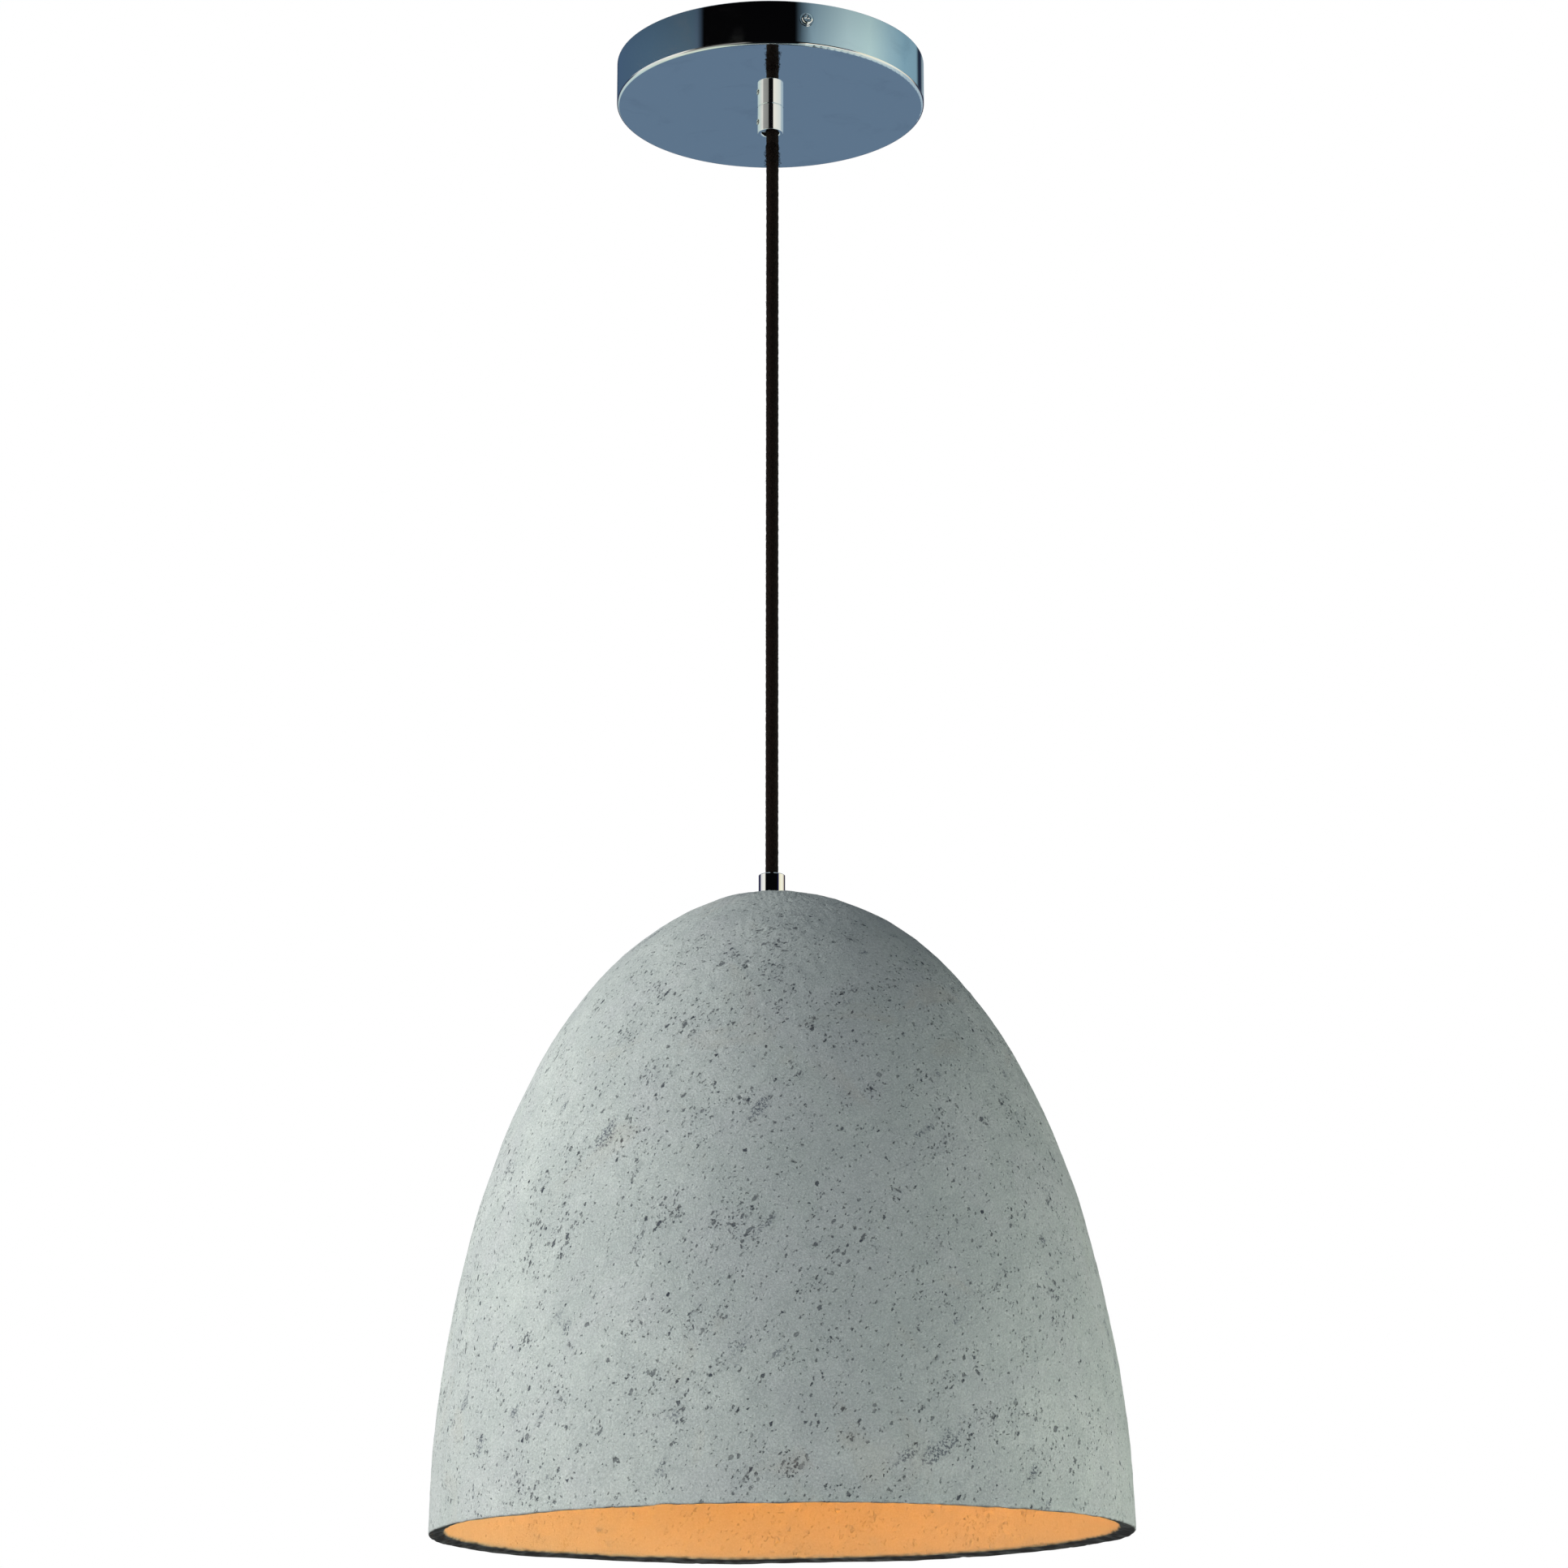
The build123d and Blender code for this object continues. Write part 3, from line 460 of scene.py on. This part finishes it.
def scatter(first, last, clusters, singles, strength):
    """Clusters of pits with a shared slant, and single ones between them, over the rows first to last."""
    weight = radius[first:last] * length[first:last]
    weight = weight / weight.sum()
    places = np.arange(first, last)
    for _ in range(clusters):
        row_at = rng.choice(places, p=weight)
        turn = rng.uniform(0, 2 * math.pi)
        steep = min(1.0, radius[row_at] / 0.13)
        tilt = rng.normal(0.75 * steep, 0.45 + 0.5 * (1 - steep))
        if rng.random() < 0.25:
            tilt = rng.uniform(0, math.pi)
        span_long = rng.gamma(3.0, 0.0017) + 0.0015
        span_wide = span_long * rng.uniform(0.2, 0.6)
        count = int(rng.integers(2, 4 + int(span_long / 0.0011)))
        vigour = rng.uniform(0.45, 1.0) * strength
        for _ in range(count):
            a = rng.normal(0, span_long)
            b = rng.normal(0, span_wide)
            du = a * math.cos(tilt) - b * math.sin(tilt)
            dv = a * math.sin(tilt) + b * math.cos(tilt)
            target = distance[row_at] - dv
            if not distance[first] < target < distance[last - 1]:
                continue
            spot = int(np.searchsorted(distance, target))
            size = rng.gamma(2.2, 0.00012) + 0.00045
            stamp(
                spot,
                turn + du / max(radius[spot], SMALLEST_R),
                size * rng.uniform(1.0, 2.1),
                size * rng.uniform(0.6, 1.0),
                tilt + rng.normal(0, 0.6),
                min(0.0011, size * rng.uniform(0.4, 0.9)) * vigour,
                0.00013 * rng.uniform(0.3, 1.4),
                rng.uniform(0, WOBBLE),
                rng.uniform(0.55, 1.0),
            )
    for _ in range(singles):
        row_at = rng.choice(places, p=weight)
        size = rng.gamma(2.5, 0.00013) + 0.0004
        stamp(
            row_at,
            rng.uniform(0, 2 * math.pi),
            size * rng.uniform(1.0, 1.8),
            size,
            rng.normal(0.8, 0.8),
            size * rng.uniform(0.3, 0.7) * strength,
            0.00007 * rng.uniform(0.2, 1.4),
            rng.uniform(0, WOBBLE),
            rng.uniform(0.35, 0.95),
        )


scatter(first_outer + 6, last_outer - 2, 90, 120, 1.0)
scatter(first_inner + 2, first_inner + 40, 60, 240, 0.6)

# The skin is a little uneven, and the rim is chipped and rounded by hand.
skin = 0.00018 * waves(26, 0.03, 0.16, 3) + 0.00006 * waves(40, 0.006, 0.02, 4)
fade = np.zeros(rows)
fade[first_outer:last_outer] = np.clip((radius[first_outer:last_outer] - 0.0085) / 0.008, 0, 1)
fade[last_outer:] = 1.0
fade[last_inner:] = 0.0
fade[first_inner:last_inner] *= np.clip((radius[first_inner:last_inner] - 0.03) / 0.01, 0, 1)
relief = (relief + crust + skin - 0.0001) * fade[:, None]

rim_rows = np.arange(last_outer - 3, first_inner + 2)
chips = waves(60, 0.005, 0.04, 8)[rim_rows] * 0.6 + waves(20, 0.04, 0.3, 9)[rim_rows] * 0.6
bite = np.clip(chips - 0.8, 0, None) ** 1.3 * 0.0008
lift = np.zeros((rows, COLUMNS))
edge_share = np.exp(-(((rim_rows - (last_outer + 1)) / 3.0) ** 2))[:, None]
lift[rim_rows] = bite * (0.35 + 0.65 * edge_share) + 0.00012 * (waves(30, 0.01, 0.08, 12)[rim_rows])
# painted shade: the rim's underside is marked near black, and its two edges partly
under = np.arange(last_outer + 3, first_inner)
rim_shade[under] = np.clip(0.93 + 0.1 * waves(40, 0.004, 0.02, 10)[under], 0, 1)
rim_shade_noise = waves(40, 0.004, 0.02, 11)
edge_rows = ((last_outer + 2, 0.5), (last_outer + 1, 0.2), (first_inner, 0.55), (first_inner + 1, 0.15))
for row, share in edge_rows:
    rim_shade[row] = np.clip(share + 0.25 * rim_shade_noise[row], 0, 1)

r = radius[:, None] + relief * normal_r[:, None]
z = RIM_Z + level[:, None] + relief * normal_z[:, None] + lift
points = np.stack([CORD_X + r * np.cos(angle), r * np.sin(angle), z], axis=2).reshape(-1, 3)
# The heavy dome hangs a little out of true under its ferrule, over to the right of the viewer.
hang = Matrix.Rotation(HANG_TILT, 3, Vector((-math.sin(VIEW_TURN), -math.cos(VIEW_TURN), 0)))
seat = np.array([CORD_X, 0.0, CROWN_Z])
points = (points - seat) @ np.array(hang).T + seat
clear = np.clip((radius - 0.009) / 0.03, 0, 1)
clear = np.repeat(clear * clear * (3 - 2 * clear), COLUMNS)[:, None]
points = points + HANG_SHIFT * clear * np.array([math.cos(VIEW_TURN), -math.sin(VIEW_TURN), 0.0])

index = np.arange(rows * COLUMNS).reshape(rows, COLUMNS)
below = np.roll(index, -1, axis=0)
quads = np.stack([index, below, np.roll(below, -1, axis=1), np.roll(index, -1, axis=1)], axis=2)
quads = quads.reshape(-1, 4)


def grid_mesh(name, vertices, faces, attributes):
    """A smooth quad mesh with float values on its points."""
    mesh = bpy.data.meshes.new(name)
    mesh.vertices.add(len(vertices))
    mesh.vertices.foreach_set("co", vertices.astype(np.float32).ravel())
    mesh.loops.add(faces.size)
    mesh.loops.foreach_set("vertex_index", faces.astype(np.int32).ravel())
    mesh.polygons.add(len(faces))
    mesh.polygons.foreach_set("loop_start", np.arange(0, faces.size, 4, dtype=np.int32))
    mesh.polygons.foreach_set("use_smooth", np.ones(len(faces), bool))
    mesh.update(calc_edges=True)
    for key, values in attributes.items():
        layer = mesh.attributes.new(key, "FLOAT", "POINT")
        layer.data.foreach_set("value", values.astype(np.float32).ravel())
    made = bpy.data.objects.new(name, mesh)
    scene.collection.objects.link(made)
    return made


inner_flag = np.zeros((rows, COLUMNS))
inner_flag[first_inner:] = 1.0
dome = grid_mesh("dome_concrete", points, quads, {"pit": pit, "rim_shade": rim_shade, "inner": inner_flag})
dome.data.materials.append(concrete())
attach(dome, "shade")
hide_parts("concrete_shade")

# ---------------------------------------------------------------- braided cord
CORD_COLUMNS = 48
RING_STEP = 0.0005
STRANDS = 8
BRAID_PITCH = 0.0165
HAIRS = 280
HAIR_POINTS = 7
HAIR_SIDES = 3
HAIR_R = 0.00009
FUZZ_TOP = 0.0052  # fibres start this far below the swing's centre, clear of the grip

cap_z = PIVOT_Z + CORD_R * np.sin(np.linspace(1.25, 0.12, 7))
cord_foot = CORD_END_Z + 0.0003
cord_z = np.concatenate([cap_z, np.arange(PIVOT_Z, cord_foot, -RING_STEP), [cord_foot]])
cord_angle = np.arange(CORD_COLUMNS) * 2 * math.pi / CORD_COLUMNS
over = np.clip(1 - np.clip(cord_z - PIVOT_Z, 0, None) ** 2 / CORD_R**2, 0.02, 1) ** 0.5
climb = 2 * math.pi * cord_z[:, None] / BRAID_PITCH * 4
weave_a = np.sin(STRANDS * cord_angle[None, :] + climb)
weave_b = np.sin(STRANDS * cord_angle[None, :] - climb)
weave = np.maximum(weave_a, weave_b)
below_grip = PIVOT_Z - cord_z
fray = (np.clip(1 - below_grip / 0.02, 0, 1) * np.clip(below_grip / 0.003 - 1.6, 0, 1))[:, None]
lumps = rng.normal(0, 1, weave.shape)
cord_r = CORD_R * over[:, None] * (0.955 + 0.03 * weave) + (0.00003 + 0.00024 * fray) * lumps * over[:, None]
cord_points = np.stack(
    [
        CORD_X + cord_r * np.cos(cord_angle),
        cord_r * np.sin(cord_angle),
        np.broadcast_to(cord_z[:, None], cord_r.shape),
    ],
    axis=2,
).reshape(-1, 3)
cord_index = np.arange(len(cord_z) * CORD_COLUMNS).reshape(len(cord_z), CORD_COLUMNS)
cord_quads = np.stack(
    [
        cord_index[:-1],
        cord_index[1:],
        np.roll(cord_index[1:], -1, axis=1),
        np.roll(cord_index[:-1], -1, axis=1),
    ],
    axis=2,
).reshape(-1, 4)
# the two ends are closed by quads across the ring
for ring, turned in ((cord_index[0], False), (cord_index[-1], True)):
    lids = []
    for k in range(CORD_COLUMNS // 2 - 1):
        lid = [ring[k], ring[k + 1], ring[CORD_COLUMNS - 2 - k], ring[CORD_COLUMNS - 1 - k]]
        lids.append(lid[::-1] if turned else lid)
    cord_quads = np.concatenate([cord_quads, np.array(lids)])


def hair(start_z, turn, reach, drop, bow):
    """One loose fibre, a thin three-sided loop out of the braid."""
    t = np.linspace(0, 1, HAIR_POINTS)
    out = CORD_R * 0.93 + reach * np.sin(math.pi * t)
    turns = turn + bow * t
    line = np.stack([CORD_X + out * np.cos(turns), out * np.sin(turns), start_z - drop * t], axis=1)
    side = np.array([-math.sin(turn), math.cos(turn), 0.0]) * HAIR_R
    up = np.array([0, 0, HAIR_R])
    ring = [line + side, line + up, line - side - up]
    return np.stack(ring, axis=1).reshape(-1, 3)


hair_points, hair_quads = [], []
start = len(cord_points)
for _ in range(HAIRS):
    low_down = rng.random() ** 2.2
    near_grip = rng.random() < 0.45
    start_z = PIVOT_Z - FUZZ_TOP - (0.012 * low_down if near_grip else rng.uniform(0, 0.364))
    reach = rng.uniform(0.0005, 0.0018) if near_grip else rng.uniform(0.0001, 0.0005)
    reach = min(reach, 0.4 * (PIVOT_Z - start_z - 0.0045))
    drop = rng.uniform(0.0008, 0.0035)
    hair_points.append(hair(start_z, rng.uniform(0, 2 * math.pi), reach, drop, rng.uniform(-0.7, 0.7)))
    base = start + HAIR_POINTS * HAIR_SIDES * (len(hair_points) - 1)
    for k in range(HAIR_POINTS - 1):
        for j in range(HAIR_SIDES):
            a = base + HAIR_SIDES * k + j
            b = base + HAIR_SIDES * k + (j + 1) % HAIR_SIDES
            hair_quads.append([a, b, b + HAIR_SIDES, a + HAIR_SIDES])
cord_points = np.concatenate([cord_points, *hair_points])
cord_quads = np.concatenate([cord_quads, np.array(hair_quads)])
cord_points[:, 2] = np.maximum(cord_points[:, 2], cord_foot)


def braid():
    made = bpy.data.materials.new("braided_cord_finish")
    s = Shader(made)
    where = s.place()
    thread = s.noise(where, 2600.0, 3.0, 0.6)
    worn = s.noise(where, 300.0, 4.0, 0.6)
    colour = s.mix(s.remap(thread, 0.35, 0.7), (0.002, 0.0015, 0.0015), (0.013, 0.0075, 0.0055))
    colour = s.mix(s.remap(worn, 0.55, 0.8, 0.0, 0.35), colour, (0.02, 0.012, 0.009))
    s.surface(colour, 0.85, 0.0, s.bump(thread, 0.0002), Specular_IOR_Level=0.2)
    return made


cord = grid_mesh("cord_braided", cord_points, cord_quads, {})
cord.data.materials.append(braid())
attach(cord, "cord")
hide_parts("hanging_cord", "cord_bend", "cord_lower_end")
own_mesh(cord)

# ---------------------------------------------------------------- finishes on the carried-over parts
for node in nodes.values():
    for place in range(len(node.data.materials)):
        slot = node.data.materials[place].name.split(".")[0]
        if slot in finishes:
            node.data.materials[place] = finishes[slot]


# ---------------------------------------------------------------- studio
# What only polished metal sees, as (degrees to the right of the direction to the camera, r, g, b) on screen.
BLACK = (6, 6, 7)
HIGH = (  # more than 24 degrees up: the canopy's wall reflects this
    (-180, 60, 80, 105),
    (-176, 58, 72, 95),
    (-171, 52, 68, 92),
    (-160, 68, 92, 118),
    (-100, 74, 99, 120),
    (-60, 76, 98, 114),
    (-56, 74, 92, 110),
    (-51, *BLACK),
    (19, *BLACK),
    (24, 80, 100, 112),
    (32, 132, 158, 170),
    (60, 176, 202, 205),
    (80, 180, 208, 208),
    (100, 150, 182, 192),
    (120, 128, 164, 180),
    (142, 124, 158, 174),
    (148, 34, 42, 58),
    (156, 36, 50, 72),
    (161, 140, 158, 165),
    (175, 120, 140, 160),
)
BESIDE_CORD = (  # from 15 or 20 to 24 degrees up
    (-180, 58, 80, 105),
    (-128, 66, 90, 118),
    (-120, 205, 214, 212),
    (-96, 236, 240, 228),
    (-66, 224, 222, 208),
    (-58, 172, 170, 158),
    (-24, 150, 152, 146),
    (-19, *BLACK),
    (24, *BLACK),
    (30, 92, 122, 132),
    (42, 200, 222, 216),
    (56, 248, 248, 232),
    (100, 232, 240, 224),
    (112, 120, 158, 172),
    (124, 60, 88, 112),
    (175, 58, 80, 105),
)
MIDDLE = (  # near the horizon, up to 15 degrees
    (-180, 60, 60, 75),
    (-118, 40, 42, 78),
    (-109, 225, 225, 225),
    (-64, 252, 250, 240),
    (-55, *BLACK),
    (50, *BLACK),
    (60, 40, 42, 92),
    (68, 245, 238, 205),
    (100, 252, 250, 232),
    (122, 225, 215, 195),
    (132, 60, 50, 60),
    (170, 60, 56, 76),
)
LOW = (  # from 12 to 34 degrees down: the canopy's face reflects from here down
    (-180, 98, 121, 144),
    (-168, 98, 121, 144),
    (-158, 178, 200, 205),
    (-118, 205, 222, 214),
    (-72, 235, 232, 222),
    (-66, 165, 165, 160),
    (-20, 140, 140, 135),
    (-14, 12, 12, 14),
    (22, 12, 12, 14),
    (28, 250, 246, 232),
    (96, 225, 232, 226),
    (118, 170, 190, 200),
    (158, 160, 182, 196),
    (168, 98, 121, 144),
    (175, 98, 121, 144),
)
NADIR = (  # more than 50 degrees down
    (-180, 24, 34, 34),
    (-170, 60, 78, 80),
    (-160, 186, 208, 200),
    (-100, 225, 232, 215),
    (-50, 190, 208, 190),
    (-38, 24, 34, 34),
    (22, 14, 18, 22),
    (34, 160, 186, 190),
    (80, 205, 218, 212),
    (130, 180, 202, 208),
    (160, 160, 182, 196),
    (172, 24, 34, 34),
)
OVERHEAD = (  # more than 80 degrees up
    (-180, 190, 205, 212),
    (-58, 190, 205, 212),
    (-48, *BLACK),
    (48, *BLACK),
    (58, 190, 205, 212),
)


def studio_world():
    """White backdrop, soft ambient light, and dark and bright panels that only the polished metal sees."""
    world = bpy.data.worlds.new("studio")
    scene.world = world
    s = Shader(world)
    direction = s.tree.nodes.new("ShaderNodeTexCoord").outputs["Generated"]
    back = (-math.sin(VIEW_TURN), -math.cos(VIEW_TURN), 0.0)
    right = (math.cos(VIEW_TURN), -math.sin(VIEW_TURN), 0.0)
    dots = []
    for axis in (right, back):
        made = s.tree.nodes.new("ShaderNodeVectorMath")
        made.operation = "DOT_PRODUCT"
        s.put(made.inputs[0], direction)
        made.inputs[1].default_value = axis
        dots.append(made.outputs["Value"])
    around = s.maths("DIVIDE", s.maths("ARCTAN2", dots[0], dots[1]), math.pi)
    around = s.maths("MULTIPLY_ADD", around, 0.5, 0.5)
    height = s.node("ShaderNodeSeparateXYZ", Vector=direction).outputs[2]
    up = s.maths("DEGREES", s.maths("ARCSINE", height))

    high = s.ramp(around, HIGH)
    beside_cord = s.ramp(around, BESIDE_CORD)
    middle = s.ramp(around, MIDDLE)
    low = s.ramp(around, LOW)
    nadir = s.ramp(around, NADIR)
    # the wall of the canopy darkens towards the ceiling
    wall = s.mix(s.remap(up, 24.35, 25.2, 0.0, 0.42), high, s.mix(1.0, high, (0.35, 0.38, 0.42), "MULTIPLY"))
    glossy = s.mix(s.remap(up, 15.0, 20.0), middle, beside_cord)
    glossy = s.mix(s.remap(up, 23.83, 23.9), glossy, wall)
    glossy = s.mix(s.remap(up, 2.0, -12.0), glossy, low)
    glossy = s.mix(s.remap(up, -34.0, -50.0), glossy, nadir)
    overhead = s.ramp(around, OVERHEAD)
    glossy = s.mix(s.remap(up, 45.0, 80.0), glossy, overhead)
    ambient = s.mix(s.remap(height, -1.0, 1.0, smooth=False), (0.015, 0.016, 0.018), (0.030, 0.048, 0.090))
    ray = s.tree.nodes.new("ShaderNodeLightPath")
    seen = s.mix(ray.outputs["Is Glossy Ray"], ambient, glossy)
    seen = s.mix(ray.outputs["Is Camera Ray"], seen, (1.0, 1.0, 1.0))
    background = s.node("ShaderNodeBackground", Color=seen, Strength=1.0)
    out = s.tree.nodes.new("ShaderNodeOutputWorld")
    s.tree.links.new(background.outputs[0], out.inputs[0])


studio_world()


def panel(name, turn, away, height, width, power, colour):
    """A soft box, turned this many degrees to the right of the direction from the lamp to the camera."""
    a = math.radians(turn) - VIEW_TURN
    light = bpy.data.lights.new(name, "AREA")
    light.size = width
    light.energy = power
    light.color = colour
    made = bpy.data.objects.new(name, light)
    scene.collection.objects.link(made)
    made.location = (math.sin(a) * away, -math.cos(a) * away, height)
    aim = Vector((0, 0, -0.58)) - made.location
    made.rotation_euler = aim.to_track_quat("-Z", "Y").to_euler()
    made.visible_camera = False
    made.visible_glossy = False


panel("key_left", -90, 1.0, 0.2, 0.8, 14.5, (1.0, 0.99, 0.965))
panel("key_left_low", -72, 1.0, -0.82, 0.8, 7.2, (1.0, 0.98, 0.94))
panel("fill_right", 90, 1.0, -0.95, 0.8, 9.8, (0.98, 1.0, 0.90))
panel("fill_front", 0, 1.1, -0.70, 0.4, 4.9, (0.98, 1.0, 0.98))
panel("back_soft", 180, 1.2, -0.3, 0.9, 3.5, (0.96, 0.98, 1.0))

floor_mesh = bpy.data.meshes.new("floor")
corners = [(x * FLOOR_HALF, y * FLOOR_HALF, FLOOR_Z) for x, y in ((-1, -1), (1, -1), (1, 1), (-1, 1))]
floor_mesh.from_pydata(corners, [], [(0, 1, 2, 3)])
floor = bpy.data.objects.new("floor", floor_mesh)
scene.collection.objects.link(floor)
floor_paint = bpy.data.materials.new("floor_paint")
paint = Shader(floor_paint)
matt = paint.node("ShaderNodeBsdfDiffuse", Color=(0.22, 0.22, 0.22))
pale = paint.node("ShaderNodeEmission", Color=(0.86, 0.87, 0.88), Strength=1.0)
which = paint.node("ShaderNodeMixShader")
paint.put(which.inputs[0], paint.tree.nodes.new("ShaderNodeLightPath").outputs["Is Camera Ray"])
paint.put(which.inputs[1], matt.outputs[0])
paint.put(which.inputs[2], pale.outputs[0])
floor_out = paint.tree.nodes.new("ShaderNodeOutputMaterial")
paint.tree.links.new(which.outputs[0], floor_out.inputs[0])
floor_mesh.materials.append(floor_paint)
floor.visible_glossy = False

# ---------------------------------------------------------------- camera
camera = bpy.data.objects.new("camera", bpy.data.cameras.new("camera"))
scene.collection.objects.link(camera)
scene.camera = camera
camera.data.sensor_width = 36.0
camera.data.lens = CAMERA_LENS_MM
camera.data.clip_start = 0.05
camera.data.clip_end = 60.0
forward = Vector((math.sin(VIEW_TURN), math.cos(VIEW_TURN), 0))
sideways = Vector((math.cos(VIEW_TURN), -math.sin(VIEW_TURN), 0))
camera.location = -CAMERA_AWAY * forward + CAMERA_SIDE * sideways + Vector((0, 0, CAMERA_Z))
look = forward * math.cos(CAMERA_PITCH) + Vector((0, 0, math.sin(CAMERA_PITCH)))
upward = sideways.cross(look)
camera.rotation_mode = "QUATERNION"
camera.rotation_quaternion = Matrix((sideways, upward, -look)).transposed().to_quaternion()

scene.view_settings.view_transform = "Standard"
